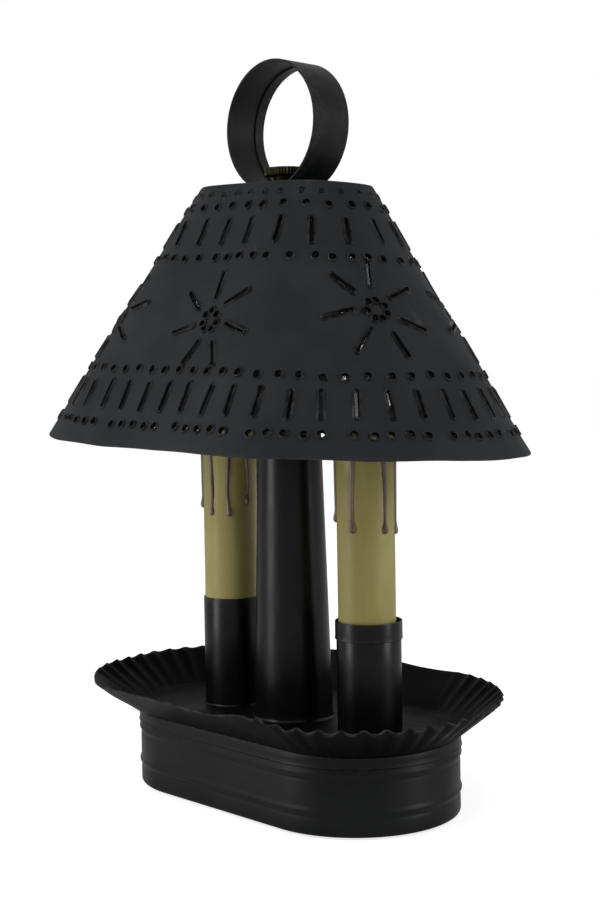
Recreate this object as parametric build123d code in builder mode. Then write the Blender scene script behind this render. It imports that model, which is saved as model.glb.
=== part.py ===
import os
from math import cos, pi, radians, sin, sqrt

from build123d import *

os.makedirs("parts", exist_ok=True)

# Accent lamp in sheet tin: an oval beaded base, a crimped drip pan, two candle lights, a tapered stem
# and an oval punched shade with a strap ring. Millimetres, +Z up, X along the lamp's long side.
# The origin is at the middle of the footprint, on the surface that the lamp stands on.

# Sheet and running clearances
tin = 0.6
slip = 0.1
free_gap = 0.3

# Base can
base_half_straight = 36.5
base_radius = 42.0
can_lift = 0.8
seam_height = 27.0
hem_width = 4.0
bead_radius = 0.8
lower_bead_height = 10.0
upper_bead_height = 24.4

# Cord inlet in the back of the can
inlet_bore_radius = 2.8
inlet_barrel_radius = 3.8
inlet_flange_radius = 4.7
inlet_flange_thickness = 1.5
inlet_lock_length = 2.5
inlet_cut_depth = 1.8

# Crimped pan
pan_floor_height = 33.0
neck_overlap = 6.0
pan_rim_height = 46.5
pan_rim_half_straight = 33.0
pan_rim_radius = 62.0
pan_wall_across = 1.0
flutes_per_end = 23
flute_depth = 1.9

# Stem
stem_foot_radius = 16.5
stem_top_radius = 10.6
stem_cap_thickness = 2.0
stem_cap_plug_length = 6.0

# Rod that holds the lamp together
rod_radius = 3.0
rod_hole_radius = 3.3
rod_tail = 2.0
rod_chamfer = 0.5
thread_clearance = 0.06
nut_across_flats = 11.0
nut_thickness = 4.5
washer_radius = 9.0
washer_thickness = 1.2

# Shade
shade_bottom_height = 147.5
shade_top_height = 253.6
shade_bottom_half_straight = 36.0
shade_bottom_radius = 76.0
shade_top_half_straight = 15.0
shade_top_radius = 25.3
shade_wall_across = 0.7
bar_width = 20.0
bar_thickness = 1.2
bar_drop = 1.4

# Lean of the hand-made shade and ring on the bar, in degrees, and the heading of the low side from +X
lean_angle = 2.1
low_side_heading = 42.0

# Punched pattern of the shade, rows as shares of its slant height
lower_slot_row = 0.186
lower_slot_count = 44
lower_slot_length = 14.0
upper_slot_row = 0.818
upper_slot_count = 21
upper_slot_length = 12.5
slot_width = 2.2
dot_radius = 1.6
punch_depth = 2.4
rim_dot_row = 0.084
rim_dot_groups = 15
rim_dot_steps = (0, 1, 2, 3, 4)
rim_dot_period = 6.1
rim_dot_first_place = -0.0268
middle_dot_row = 0.278
middle_dot_count = 60
under_slot_dot_row = 0.718
under_slot_dot_groups = 7
under_slot_dot_steps = (0, 1, 2, 3, 4, 5.4)
under_slot_dot_period = 6.75
under_slot_dot_first_place = 0.0113
top_dot_row = 0.915
top_dot_count = 28
top_dot_first_place = -0.0071

# Stars of the punched pattern: row share, place round the shade, heading of the first ray in degrees
stars = (
    (0.515, 0.044, 82),
    (0.468, 0.214, 92),
    (0.469, 0.369, 77),
    (0.500, 0.540, 84),
    (0.490, 0.725, 88),
    (0.490, 0.910, 90),
)
star_rays = 7
star_ray_inner = 9.3
star_ray_outer = 21.5
star_dot_ring_radius = 4.7

# Ring handle and knurled nut
ring_radius = 27.0
ring_width = 19.5
ring_thickness = 1.0
ring_flat_half_width = 5.0
thumb_boss_radius = 4.8
thumb_boss_height = 5.2
thumb_head_radius = 8.6
thumb_head_height = 3.4
thumb_rib_count = 40
thumb_rib_depth = 0.5

# Candle lights: the right sleeve leans against the left side of its wider cup
right_candle_x = 44.9
left_candle_x = -38.8
right_cup_top_height = 76.4
left_cup_top_height = 79.5
right_cup_inner_radius = 12.5
left_cup_inner_radius = 11.75
cup_wall = 0.5
right_sleeve_shift = -0.8
left_sleeve_shift = 0.0
sleeve_radius = 11.6
sleeve_wall = 1.0
sleeve_top_height = 152.0
collar_height = 8.0
collar_rise = 1.4
drip_radius = 1.1
drip_tip_radius = 1.5

# Wax drips: heading round the sleeve and height of the tip's middle
right_drips = ((-134, 118.6), (-72, 115.2), (-5, 114.7), (42, 113.7), (98, 117.5), (162, 120.5))
left_drips = ((-129, 119.4), (-84, 116.7), (-44, 116.5), (-2, 121.0), (60, 117.5), (130, 120.0))

# Sockets inside the candles
nipple_radius = 4.75
nipple_bore_radius = 3.0
nipple_bottom_height = 25.0
nipple_top_height = 42.0
nipple_hole_clearance = 0.25
pipe_nut_across_flats = 14.0
pipe_nut_thickness = 3.0
bracket_thickness = 0.8
bracket_width = 6.0
bracket_foot_radius = 8.0
socket_radius = 8.8
socket_length = 30.0
socket_rim_drop = 1.0
socket_floor = 7.0
shell_outer_radius = 6.6
shell_wall = 0.5
contact_radius = 3.0
contact_thickness = 1.2

# Bulbs
bulb_cap_clearance = 0.08
bulb_cap_wall = 0.4
bulb_cap_rise = 2.0
bulb_tip_radius = 2.2
bulb_tip_height = 1.6
bulb_radius = 16.0
bulb_length = 82.0
bulb_neck_length = 8.0
bulb_waist_rise = 28.8
glass_wall = 0.8
mount_taper = 4.0
filament_radius = 0.5
filament_foot_half_width = 2.4
filament_half_width = 4.0
filament_peak = 9.0
filament_bend = 2.0
filament_embed = 1.0

# Lead wires and their connectors
wire_radius = 0.9
wire_spread = 1.05
wire_floor_height = 8.0
connector_radius = 6.0
connector_length = 20.0
connector_wall = 1.2
connector_taper = 5.0
connector_y = 15.0
wire_lane = 1.3
wire_drop = 4.0
wire_turn_x = 16.0
wire_turn_y = 2.5
wire_run_in = 8.0
wire_bends = (9, 6, 5)

# Heights that follow from the sizes above
can_inner_radius = base_radius - tin
cover_height = can_lift + tin
inlet_height = (lower_bead_height + bead_radius + seam_height - neck_overlap) / 2
pan_floor_bottom = pan_floor_height - tin
neck_radius = can_inner_radius - slip
bar_top = shade_top_height - bar_drop
bar_bottom = bar_top - bar_thickness
ring_centre_height = bar_top + sqrt(ring_radius**2 - ring_flat_half_width**2)
stem_cap_bottom = bar_bottom - stem_cap_thickness
washer_bottom = pan_floor_bottom - washer_thickness
nut_bottom = washer_bottom - nut_thickness
strap_seat = bar_top + ring_thickness
thumb_nut_top = strap_seat + thumb_boss_height + thumb_head_height
rod_bottom = nut_bottom - rod_tail
socket_top = sleeve_top_height - socket_rim_drop
socket_bottom = socket_top - socket_length
contact_top = socket_bottom + socket_floor + contact_thickness
sleeve_inner_radius = sleeve_radius - sleeve_wall
right_cup_radius = right_cup_inner_radius + cup_wall
cup_seat = pan_floor_height + tin
bracket_foot_top = cup_seat + bracket_thickness
shell_inner_radius = shell_outer_radius - shell_wall
bulb_cap_radius = shell_inner_radius - bulb_cap_clearance
candles = (
    ("right", right_candle_x, right_cup_inner_radius, right_cup_top_height, right_sleeve_shift, right_drips),
    ("left", left_candle_x, left_cup_inner_radius, left_cup_top_height, left_sleeve_shift, left_drips),
)


def finish(piece, name):
    """Label a finished piece and write its file."""
    piece.part.label = name
    export_step(piece.part, "parts/" + name + ".step")


def oval(half_straight, radius):
    """Oval outline with straight sides along X and quarter-round arcs at both ends."""
    with BuildLine() as outline:
        Line((-half_straight, -radius), (half_straight, -radius))
        CenterArc((half_straight, 0), radius, -90, 90)
        CenterArc((half_straight, 0), radius, 0, 90)
        Line((half_straight, radius), (-half_straight, radius))
        CenterArc((-half_straight, 0), radius, 90, 90)
        CenterArc((-half_straight, 0), radius, 180, 90)
    make_face(outline.edges())


def hexagon(across_flats):
    """Hexagon face of a nut."""
    RegularPolygon(across_flats / 2, 6, major_radius=False)


def ring_face(outer_radius, inner_radius):
    """Flat ring face."""
    Circle(outer_radius)
    Circle(inner_radius, mode=Mode.SUBTRACT)


def bead_path(height):
    """Oval line round the can at a height, from the middle of its front."""
    with BuildLine(Plane.XY.offset(height)) as path:
        Line((0, -base_radius), (base_half_straight, -base_radius))
        CenterArc((base_half_straight, 0), base_radius, -90, 180)
        Line((base_half_straight, base_radius), (-base_half_straight, base_radius))
        CenterArc((-base_half_straight, 0), base_radius, 90, 180)
        Line((-base_half_straight, -base_radius), (0, -base_radius))
    return path.wire()


def roll_beads(radius, mode):
    """Round bars along both beads, added or cut away."""
    for height in (lower_bead_height, upper_bead_height):
        with BuildSketch(Plane((0, -base_radius, height), x_dir=(0, -1, 0), z_dir=(1, 0, 0))) as section:
            Circle(radius)
        sweep(section.sketch, path=bead_path(height), mode=mode)


# Base can: an oval band of tin with two rolled beads and a hem turned in at the bottom
inlet_plane = Plane((0, base_radius, inlet_height), x_dir=(1, 0, 0), z_dir=(0, 1, 0))
with BuildPart() as base_can:
    with BuildSketch(Plane.XY.offset(can_lift)):
        oval(base_half_straight, base_radius)
    extrude(amount=seam_height - can_lift)
    roll_beads(bead_radius, Mode.ADD)
    with BuildSketch(Plane.XY.offset(cover_height)):
        oval(base_half_straight, can_inner_radius)
    extrude(amount=seam_height, mode=Mode.SUBTRACT)
    with BuildSketch(Plane.XY):
        oval(base_half_straight, can_inner_radius - hem_width)
    extrude(amount=seam_height, mode=Mode.SUBTRACT)
    roll_beads(bead_radius - tin, Mode.SUBTRACT)
    with BuildSketch(inlet_plane):
        Circle(inlet_barrel_radius + slip)
    extrude(amount=inlet_cut_depth, both=True, mode=Mode.SUBTRACT)
finish(base_can, "base_can")

# Bottom cover: a tin plate lying on the can's hem
with BuildPart() as base_cover:
    with BuildSketch(Plane.XY.offset(cover_height)):
        oval(base_half_straight, can_inner_radius - slip)
    extrude(amount=tin)
finish(base_cover, "base_cover")

# Felt pad glued under the cover, standing just proud of the can
with BuildPart() as felt_pad:
    with BuildSketch(Plane.XY):
        oval(base_half_straight, can_inner_radius - hem_width - free_gap)
    extrude(amount=cover_height)
finish(felt_pad, "felt_pad")

# Cord bushing: a plastic snap bushing in the back of the can
with BuildPart() as cord_bushing:
    with BuildSketch(inlet_plane.offset(-tin - inlet_lock_length)):
        ring_face(inlet_barrel_radius, inlet_bore_radius)
    extrude(amount=tin + inlet_lock_length)
    with BuildSketch(inlet_plane):
        ring_face(inlet_flange_radius, inlet_bore_radius)
    extrude(amount=inlet_flange_thickness)
    with BuildSketch(inlet_plane.offset(-tin - inlet_lock_length)):
        ring_face(inlet_barrel_radius + tin, inlet_bore_radius)
    extrude(amount=inlet_lock_length - slip)
finish(cord_bushing, "cord_bushing")

# Neck band: the oval collar under the pan that plugs into the can
with BuildPart() as neck_band:
    with BuildSketch(Plane.XY.offset(seam_height - neck_overlap)):
        oval(base_half_straight, neck_radius)
    extrude(amount=pan_floor_bottom - seam_height + neck_overlap)
    with BuildSketch(Plane.XY.offset(seam_height - neck_overlap)):
        oval(base_half_straight, neck_radius - tin)
    extrude(amount=pan_floor_bottom - seam_height + neck_overlap, mode=Mode.SUBTRACT)
finish(neck_band, "neck_band")


# Crimped pan: a flat floor and a flared wall, fluted round both ends
def pan_outline(height, inset):
    """Outline of the flared wall at a height, fluted round both ends, moved in by an inset."""
    share = (height - pan_floor_bottom) / (pan_rim_height - pan_floor_bottom)
    half_straight = base_half_straight + share * (pan_rim_half_straight - base_half_straight)
    radius = neck_radius + share * (pan_rim_radius - neck_radius) - inset
    points = []
    for end in (1, -1):
        for step in range(2 * flutes_per_end + 1):
            angle = radians(-90 + 180 * step / (2 * flutes_per_end))
            wave = -share * flute_depth if step % 2 else 0.0
            reach = radius + wave
            points.append((end * (half_straight + reach * cos(angle)), end * reach * sin(angle)))
    Polyline(points, close=True)


with BuildPart() as crimped_pan:
    for outline_height in (pan_floor_bottom, pan_rim_height):
        with BuildSketch(Plane.XY.offset(outline_height)):
            with BuildLine():
                pan_outline(outline_height, 0)
            make_face()
    loft(ruled=True)
    for outline_height in (pan_floor_height, pan_rim_height):
        with BuildSketch(Plane.XY.offset(outline_height)):
            with BuildLine():
                pan_outline(outline_height, pan_wall_across)
            make_face()
    loft(ruled=True, mode=Mode.SUBTRACT)
    with BuildSketch(Plane.XY):
        Circle(rod_hole_radius)
        with Locations((right_candle_x, 0), (left_candle_x, 0)):
            Circle(nipple_radius + nipple_hole_clearance)
    extrude(amount=pan_rim_height, mode=Mode.SUBTRACT)
finish(crimped_pan, "crimped_pan")

# Stem: a tapered tin tube soldered to the pan's floor
with BuildPart() as stem_tube:
    with BuildSketch(Plane.XZ):
        with BuildLine():
            Polyline(
                (stem_foot_radius - tin, pan_floor_height),
                (stem_foot_radius, pan_floor_height),
                (stem_top_radius, stem_cap_bottom),
                (stem_top_radius - tin, stem_cap_bottom),
                close=True,
            )
        make_face()
    revolve(axis=Axis.Z)
finish(stem_tube, "stem_tube")

# Stem cap: a turned plug that closes the stem and carries the shade's bar
with BuildPart() as stem_cap:
    with BuildSketch(Plane.XY.offset(stem_cap_bottom)):
        ring_face(stem_top_radius + tin, rod_hole_radius)
    extrude(amount=stem_cap_thickness)
    with BuildSketch(Plane.XY.offset(stem_cap_bottom - stem_cap_plug_length)):
        ring_face(stem_top_radius - tin - slip, rod_hole_radius)
    extrude(amount=stem_cap_plug_length)
finish(stem_cap, "stem_cap")

# Threaded rod from under the pan up through the stem, the shade's bar and the ring
with BuildPart() as threaded_rod:
    with BuildSketch(Plane.XY.offset(rod_bottom)):
        Circle(rod_radius)
    extrude(amount=thumb_nut_top - rod_bottom)
    chamfer(threaded_rod.edges().filter_by(GeomType.CIRCLE), rod_chamfer)
finish(threaded_rod, "threaded_rod")

# Washer and hex nut that clamp the rod under the pan's floor
with BuildPart() as rod_washer:
    with BuildSketch(Plane.XY.offset(washer_bottom)):
        ring_face(washer_radius, rod_hole_radius)
    extrude(amount=washer_thickness)
finish(rod_washer, "rod_washer")

with BuildPart() as rod_nut:
    with BuildSketch(Plane.XY.offset(nut_bottom)):
        hexagon(nut_across_flats)
        Circle(rod_radius + thread_clearance, mode=Mode.SUBTRACT)
    extrude(amount=nut_thickness)
finish(rod_nut, "rod_nut")


# Shade: an oval cone of sheet tin, open below and above, with a punched pattern
def shade_oval(share):
    """Half straight, radius and height of the upright shade at a share of its slant height."""
    half_straight = shade_bottom_half_straight * (1 - share) + shade_top_half_straight * share
    radius = shade_bottom_radius * (1 - share) + shade_top_radius * share
    height = shade_bottom_height * (1 - share) + shade_top_height * share
    return half_straight, radius, height


def shade_plane(share, place, along=0.0, up=0.0):
    """Plane on the shade's outside: row share, place round it from 0 to 1, offsets in that plane."""
    half_straight, radius, height = shade_oval(share)
    quarter = pi * radius / 2
    run = (place % 1.0) * (4 * quarter + 4 * half_straight)
    if run < quarter:
        middle, angle = half_straight, -run / radius
    elif run < quarter + 2 * half_straight:
        middle, angle = half_straight - (run - quarter), -pi / 2
    elif run < 3 * quarter + 2 * half_straight:
        middle, angle = -half_straight, -pi / 2 - (run - quarter - 2 * half_straight) / radius
    elif run < 3 * quarter + 4 * half_straight:
        middle, angle = -half_straight + (run - 3 * quarter - 2 * half_straight), pi / 2
    else:
        middle, angle = half_straight, -(run - 4 * half_straight) / radius
    outward = Vector(cos(angle), sin(angle), 0)
    tangent = Vector(-sin(angle), cos(angle), 0)
    rise = shade_top_height - shade_bottom_height
    spread = shade_bottom_radius - shade_top_radius
    pull = (shade_bottom_half_straight - shade_top_half_straight) * middle / half_straight
    slope = Vector(-pull, 0, rise) - outward * spread
    normal = tangent.cross(slope).normalized()
    origin = Vector(middle, 0, height) + outward * radius
    plane = Plane(origin, x_dir=tangent, z_dir=normal)
    return Plane(plane.from_local_coords(Vector(along, up, 0)), x_dir=tangent, z_dir=normal)


def grouped_places(groups, steps, period, first_place):
    """Places round the shade for groups of dots: steps within a group, over the group's period."""
    return [first_place + (group + step / period) / groups for group in range(groups) for step in steps]


lower_slot_places = [(n + 0.5) / lower_slot_count for n in range(lower_slot_count)]
lower_slot_planes = [shade_plane(lower_slot_row, place) for place in lower_slot_places]
upper_slot_planes = [shade_plane(upper_slot_row, n / upper_slot_count) for n in range(upper_slot_count)]
rim_places = grouped_places(rim_dot_groups, rim_dot_steps, rim_dot_period, rim_dot_first_place)
dot_planes = [shade_plane(rim_dot_row, place) for place in rim_places]
dot_planes += [shade_plane(middle_dot_row, n / middle_dot_count) for n in range(middle_dot_count)]
under_slot_places = grouped_places(
    under_slot_dot_groups, under_slot_dot_steps, under_slot_dot_period, under_slot_dot_first_place
)
dot_planes += [shade_plane(under_slot_dot_row, place) for place in under_slot_places]
top_places = [top_dot_first_place + n / top_dot_count for n in range(top_dot_count)]
dot_planes += [shade_plane(top_dot_row, place) for place in top_places]
ray_planes = []
ray_middle = (star_ray_inner + star_ray_outer) / 2
for star_row, star_place, first_ray in stars:
    for ray in range(star_rays):
        heading = first_ray + 360 * ray / star_rays
        along = cos(radians(heading))
        up = sin(radians(heading))
        at_ray = shade_plane(star_row, star_place, ray_middle * along, ray_middle * up)
        ray_planes.append(at_ray.rotated((0, 0, heading)))
        dot_along = star_dot_ring_radius * along
        dot_up = star_dot_ring_radius * up
        dot_planes.append(shade_plane(star_row, star_place, dot_along, dot_up))

turn_low_side = Rot(0, 0, low_side_heading)
turn_back = Rot(0, 0, -low_side_heading)
lean = Pos(0, 0, bar_top) * turn_low_side * Rot(0, lean_angle, 0) * turn_back * Pos(0, 0, -bar_top)
with BuildPart() as upright_shade:
    for inset, mode in ((0, Mode.ADD), (shade_wall_across, Mode.SUBTRACT)):
        for share in (0, 1):
            half_straight, radius, height = shade_oval(share)
            with BuildSketch(Plane.XY.offset(height)):
                oval(half_straight, radius - inset)
        loft(ruled=True, mode=mode)
    with BuildSketch(*lower_slot_planes):
        SlotOverall(lower_slot_length, slot_width, rotation=90)
    with BuildSketch(*upper_slot_planes):
        SlotOverall(upper_slot_length, slot_width, rotation=90)
    with BuildSketch(*ray_planes):
        SlotOverall(star_ray_outer - star_ray_inner, slot_width)
    with BuildSketch(*dot_planes):
        Circle(dot_radius)
    extrude(amount=punch_depth, both=True, mode=Mode.SUBTRACT)
with BuildPart() as shade:
    add(upright_shade.part.moved(lean))
finish(shade, "shade")

# Shade bar: the level strip across the top of the shade that the rod passes through
with BuildPart() as shade_inside:
    for share in (0, 1):
        half_straight, radius, height = shade_oval(share)
        with BuildSketch(Plane.XY.offset(height)):
            oval(half_straight, radius - shade_wall_across - slip)
    loft(ruled=True)
with BuildPart() as shade_bar:
    with BuildSketch(Plane.XY.offset(bar_bottom)):
        Rectangle(2 * shade_bottom_radius, bar_width)
        Circle(rod_hole_radius, mode=Mode.SUBTRACT)
    extrude(amount=bar_thickness)
    add(shade_inside.part.moved(lean), mode=Mode.INTERSECT)
finish(shade_bar, "shade_bar")

# Ring handle: a strap of tin bent to a ring that leans with the shade, level where the nut clamps it
ring_plane = Plane((0, ring_width / 2, 0), x_dir=(1, 0, 0), z_dir=(0, -1, 0))
with BuildPart() as upright_ring:
    with BuildSketch(ring_plane):
        with Locations((0, ring_centre_height)):
            ring_face(ring_radius, ring_radius - ring_thickness)
    extrude(amount=ring_width)
with BuildPart() as ring_handle:
    add(upright_ring.part.moved(lean))
    with BuildSketch(Plane.XY.offset(bar_top)):
        Rectangle(3 * ring_radius, 3 * ring_radius)
    extrude(amount=-ring_radius, mode=Mode.SUBTRACT)
    with BuildSketch(ring_plane):
        with Locations((0, bar_top + ring_thickness / 2)):
            Rectangle(2 * ring_flat_half_width, ring_thickness)
    extrude(amount=ring_width)
    with BuildSketch(Plane.XY.offset(bar_top)):
        Circle(rod_hole_radius)
    extrude(amount=ring_radius, mode=Mode.SUBTRACT)
    with BuildSketch(Plane.XY.offset(strap_seat)):
        Circle(thumb_boss_radius + slip)
    extrude(amount=thumb_boss_height, mode=Mode.SUBTRACT)
finish(ring_handle, "ring_handle")

# Knurled nut: a ribbed head on a smooth boss, screwed down on the strap
boss_top = strap_seat + thumb_boss_height
with BuildPart() as knurled_nut:
    with BuildSketch(Plane.XY.offset(strap_seat)):
        Circle(thumb_boss_radius)
    extrude(amount=thumb_boss_height)
    with BuildSketch(Plane.XY.offset(boss_top)):
        Circle(thumb_head_radius)
        with PolarLocations(thumb_head_radius, thumb_rib_count):
            Circle(thumb_rib_depth, mode=Mode.SUBTRACT)
    extrude(amount=thumb_head_height)
    with BuildSketch(Plane.XY.offset(strap_seat)):
        Circle(rod_radius + thread_clearance)
    extrude(amount=thumb_nut_top, mode=Mode.SUBTRACT)
finish(knurled_nut, "knurled_nut")

# Candle lights: the same parts at both places, with a wider collar round the right cup
for side, candle_x, cup_inner_radius, cup_top_height, sleeve_shift, drips in candles:
    # Cup: a tin tube with a bottom, soldered to the pan's floor
    with BuildPart() as candle_cup:
        with BuildSketch(Plane.XY.offset(pan_floor_height)):
            with Locations((candle_x, 0)):
                Circle(cup_inner_radius + cup_wall)
        extrude(amount=cup_top_height - pan_floor_height)
        with BuildSketch(Plane.XY.offset(cup_seat)):
            with Locations((candle_x, 0)):
                Circle(cup_inner_radius)
        extrude(amount=cup_top_height, mode=Mode.SUBTRACT)
        with BuildSketch(Plane.XY):
            with Locations((candle_x, 0)):
                Circle(nipple_radius + nipple_hole_clearance)
        extrude(amount=cup_top_height, mode=Mode.SUBTRACT)
    finish(candle_cup, side + "_candle_cup")

    # Sleeve: the candle cover, a thin tube with wax drips down its outside
    sleeve_x = candle_x + sleeve_shift
    with BuildPart() as candle_sleeve:
        with BuildSketch(Plane.XY.offset(cup_seat)):
            with Locations((sleeve_x, 0)):
                Circle(sleeve_radius)
        extrude(amount=sleeve_top_height - cup_seat)
        for heading, drip_end in drips:
            drip_x = sleeve_x + sleeve_radius * cos(radians(heading))
            drip_y = sleeve_radius * sin(radians(heading))
            with BuildSketch(Plane.XY.offset(drip_end)):
                with Locations((drip_x, drip_y)):
                    Circle(drip_radius)
            extrude(amount=sleeve_top_height - drip_end)
            with Locations((drip_x, drip_y, drip_end)):
                Sphere(drip_tip_radius)
        with BuildSketch(Plane.XY.offset(cup_seat)):
            with Locations((sleeve_x, 0)):
                Circle(sleeve_inner_radius)
        extrude(amount=sleeve_top_height, mode=Mode.SUBTRACT)
    finish(candle_sleeve, side + "_candle_sleeve")

    # Nipple: threaded pipe that holds the cup and the socket to the pan and lets the wires through
    with BuildPart() as candle_nipple:
        with BuildSketch(Plane.XY.offset(nipple_bottom_height)):
            with Locations((candle_x, 0)):
                ring_face(nipple_radius, nipple_bore_radius)
        extrude(amount=nipple_top_height - nipple_bottom_height)
    finish(candle_nipple, side + "_nipple")

    # Pipe nuts: one under the pan's floor, one on the bracket's foot
    with BuildPart() as pipe_nuts:
        with BuildSketch(Plane.XY.offset(pan_floor_bottom - pipe_nut_thickness)):
            with Locations((candle_x, 0)):
                hexagon(pipe_nut_across_flats)
                Circle(nipple_radius + thread_clearance, mode=Mode.SUBTRACT)
        extrude(amount=pipe_nut_thickness)
        with BuildSketch(Plane.XY.offset(bracket_foot_top)):
            with Locations((candle_x, 0)):
                hexagon(pipe_nut_across_flats)
                Circle(nipple_radius + thread_clearance, mode=Mode.SUBTRACT)
        extrude(amount=pipe_nut_thickness)
    finish(pipe_nuts, side + "_pipe_nuts")

    # Bracket: a round foot under the upper nut and a strip up to the socket
    with BuildPart() as socket_bracket:
        with BuildSketch(Plane.XY.offset(cup_seat)):
            with Locations((candle_x, 0)):
                Circle(bracket_foot_radius)
            with Locations((candle_x, (socket_radius + bracket_thickness) / 2)):
                Rectangle(bracket_width, socket_radius + bracket_thickness + 2 * slip)
            with Locations((candle_x, 0)):
                Circle(nipple_radius + nipple_hole_clearance, mode=Mode.SUBTRACT)
        extrude(amount=bracket_thickness)
        with BuildSketch(Plane.XY.offset(cup_seat)):
            with Locations((candle_x, socket_radius + slip + bracket_thickness / 2)):
                Rectangle(bracket_width, bracket_thickness)
        extrude(amount=socket_bottom + socket_floor - cup_seat)
    finish(socket_bracket, side + "_socket_bracket")

    # Socket body: moulded insulator with a deep bore for the screw shell
    with BuildPart() as socket_body:
        with BuildSketch(Plane.XY.offset(socket_bottom)):
            with Locations((candle_x, 0)):
                Circle(socket_radius)
                with Locations((0, -wire_spread), (0, wire_spread)):
                    Circle(wire_radius + slip, mode=Mode.SUBTRACT)
        extrude(amount=socket_length)
        with BuildSketch(Plane.XY.offset(socket_bottom + socket_floor)):
            with Locations((candle_x, 0)):
                Circle(shell_outer_radius + slip)
        extrude(amount=socket_length, mode=Mode.SUBTRACT)
    finish(socket_body, side + "_socket_body")

    # Screw shell and centre contact that carry the current to the bulb
    with BuildPart() as screw_shell:
        with BuildSketch(Plane.XY.offset(contact_top)):
            with Locations((candle_x, 0)):
                ring_face(shell_outer_radius, shell_inner_radius)
        extrude(amount=socket_top - contact_top)
    finish(screw_shell, side + "_screw_shell")

    with BuildPart() as centre_contact:
        with BuildSketch(Plane.XY.offset(socket_bottom + socket_floor)):
            with Locations((candle_x, 0)):
                Circle(contact_radius)
        extrude(amount=contact_thickness)
    finish(centre_contact, side + "_centre_contact")

    # Bulb cap: the brass screw base with its tip on the centre contact
    cap_bottom = contact_top + bulb_tip_height
    cap_top = socket_top + bulb_cap_rise
    candle_plane = Plane((candle_x, 0, 0), x_dir=(1, 0, 0), z_dir=(0, -1, 0))
    candle_axis = Axis((candle_x, 0, 0), (0, 0, 1))
    with BuildPart() as bulb_cap:
        with BuildSketch(candle_plane):
            with BuildLine():
                Polyline(
                    (0, contact_top),
                    (bulb_tip_radius, contact_top),
                    (bulb_cap_radius, cap_bottom + bulb_tip_height),
                    (bulb_cap_radius, cap_top),
                    (bulb_cap_radius - bulb_cap_wall, cap_top),
                    (bulb_cap_radius - bulb_cap_wall, cap_bottom + 2 * bulb_tip_height),
                    (0, cap_bottom + 2 * bulb_tip_height),
                    close=True,
                )
            make_face()
        revolve(axis=candle_axis)
    finish(bulb_cap, side + "_bulb_cap")

    # Glass: a clear torpedo envelope, open into the cap
    neck = bulb_cap_radius - bulb_cap_wall - slip
    glass_bottom = cap_top - bulb_neck_length
    waist = cap_top + bulb_waist_rise
    glass_top = glass_bottom + bulb_length
    with BuildPart() as bulb_glass:
        for inset, mode in ((0, Mode.ADD), (glass_wall, Mode.SUBTRACT)):
            with BuildSketch(candle_plane):
                with BuildLine():
                    Line((0, glass_bottom), (neck - inset, glass_bottom))
                    Line((neck - inset, glass_bottom), (neck - inset, cap_top))
                    Spline(
                        (neck - inset, cap_top),
                        (bulb_radius - inset, waist),
                        tangents=((0.25, 1), (0, 1)),
                    )
                    Spline(
                        (bulb_radius - inset, waist),
                        (0, glass_top - inset),
                        tangents=((0, 1), (-1, 0.6)),
                    )
                    Line((0, glass_top - inset), (0, glass_bottom))
                make_face()
            revolve(axis=candle_axis, mode=mode)
    finish(bulb_glass, side + "_bulb_glass")

    # Filament mount: a glass stem in the cap with two supports and the filament between them
    mount_bottom = cap_bottom + 2 * bulb_tip_height
    mount_top = cap_top + bulb_cap_rise
    filament_foot = mount_top - filament_embed
    with BuildPart() as filament_mount:
        with BuildSketch(Plane.XY.offset(mount_bottom)):
            with Locations((candle_x, 0)):
                Circle(neck - glass_wall - free_gap)
        extrude(amount=mount_top - mount_bottom, taper=mount_taper)
        with BuildLine(candle_plane) as filament_path:
            FilletPolyline(
                (-filament_foot_half_width, filament_foot),
                (-filament_half_width, waist),
                (0, waist + filament_peak),
                (filament_half_width, waist),
                (filament_foot_half_width, filament_foot),
                radius=filament_bend,
            )
        with BuildSketch(Plane(origin=filament_path.wire() @ 0, z_dir=filament_path.wire() % 0)):
            Circle(filament_radius)
        sweep(path=filament_path.wire())
    finish(filament_mount, side + "_filament_mount")

# Collar round the top of the right cup
with BuildPart() as right_cup_collar:
    with BuildSketch(Plane.XY.offset(right_cup_top_height + collar_rise - collar_height)):
        with Locations((right_candle_x, 0)):
            ring_face(right_cup_radius + slip + tin, right_cup_radius + slip)
    extrude(amount=collar_height)
finish(right_cup_collar, "right_cup_collar")

# Wire connectors: two twist-on caps that lie on the cover, mouths facing each other across the middle
connector_height = cover_height + tin + connector_radius
with BuildPart() as wire_connectors:
    for facing in (1, -1):
        mouth = Plane((0, facing * connector_y, connector_height), x_dir=(1, 0, 0), z_dir=(0, facing, 0))
        with BuildSketch(mouth):
            Circle(connector_radius)
        extrude(amount=connector_length, taper=connector_taper)
        with BuildSketch(mouth):
            Circle(connector_radius - connector_wall)
        hollow_length = connector_length - 2 * connector_wall
        extrude(amount=hollow_length, taper=connector_taper, mode=Mode.SUBTRACT)
finish(wire_connectors, "wire_connectors")

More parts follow.
